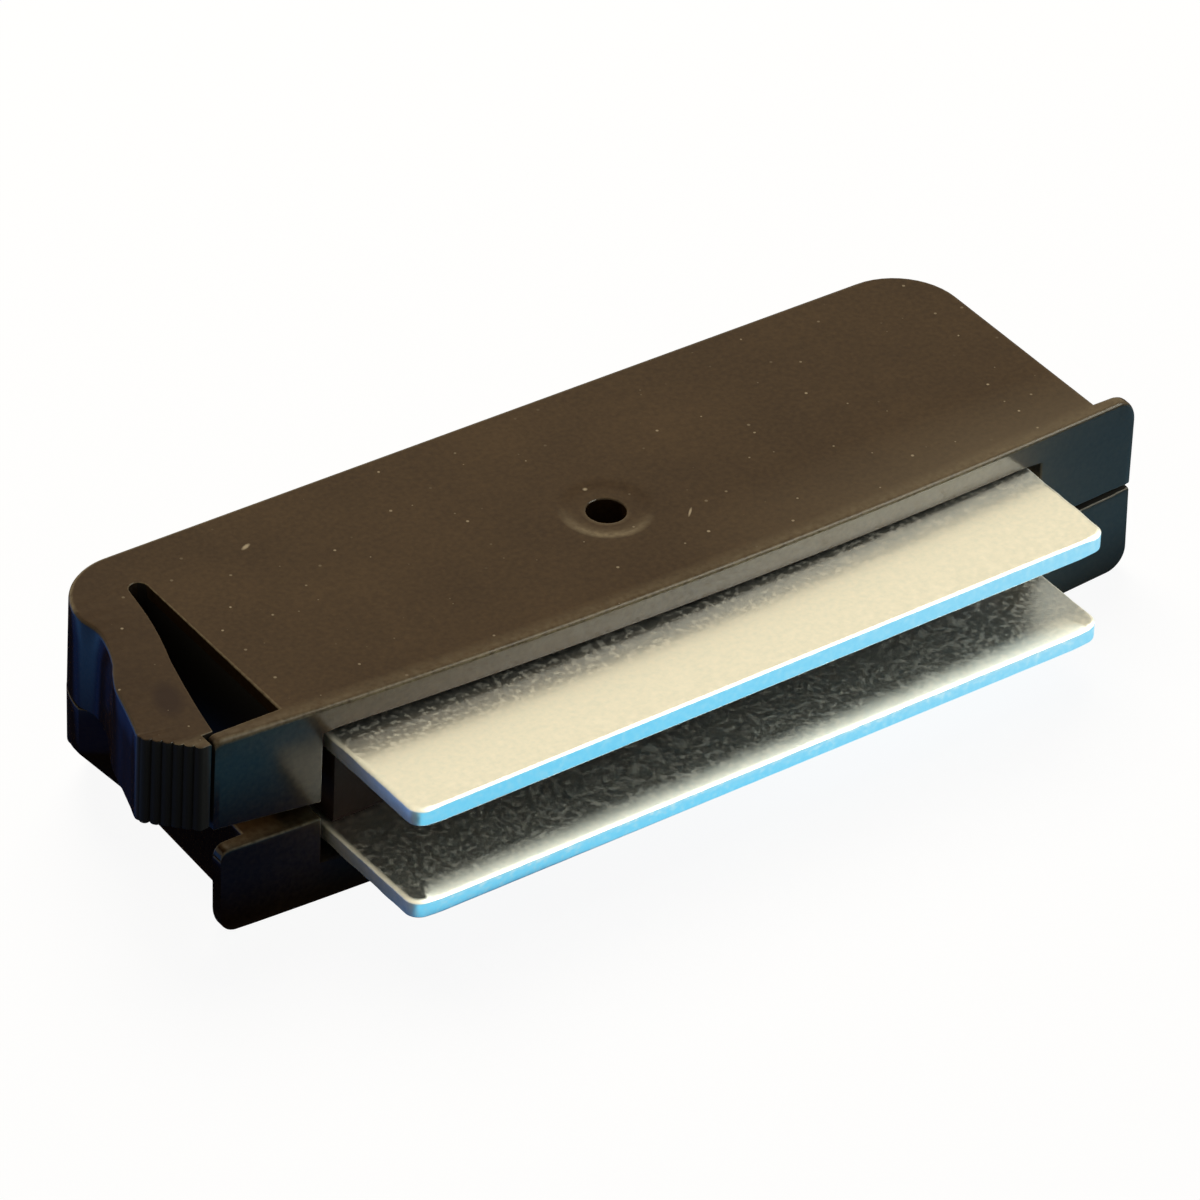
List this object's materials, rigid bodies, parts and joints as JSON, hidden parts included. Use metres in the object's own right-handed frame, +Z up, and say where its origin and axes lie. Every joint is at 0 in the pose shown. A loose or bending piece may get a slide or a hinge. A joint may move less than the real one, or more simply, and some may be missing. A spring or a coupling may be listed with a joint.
{
  "type": "magnetic door catch",
  "caption": "Snap-in magnetic door catch: a split moulded casing with a front flange and a sprung side arm, holding a loose magnet between steel pole plates that stand out of its window.",
  "frame": {"origin": "on the casing's bottom, at mid flange, in the plane where the flange seats on the panel edge", "axes": "+X along the flange away from the spring arm, +Y into the panel, +Z up"},
  "size_m": [0.0632, 0.0251, 0.0132],
  "materials": {
    "brown_nylon": "satin dark brown moulding",
    "zinc_plated_steel": "bright zinc plating on sheared strip",
    "ferrite": "dull dark sintered block"
  },
  "bodies": {
    "casing": {"upper_shell": "brown_nylon", "lower_shell": "brown_nylon"},
    "magnet_pack": {"upper_pole_plate": "zinc_plated_steel", "lower_pole_plate": "zinc_plated_steel", "magnet": "ferrite"}
  },
  "joints": [
    {"name": "pack_float", "type": "slide", "parent": "casing", "child": "magnet_pack", "axis": [0, 1, 0], "range_m": [-0.0008, 0.0008]}
  ]
}
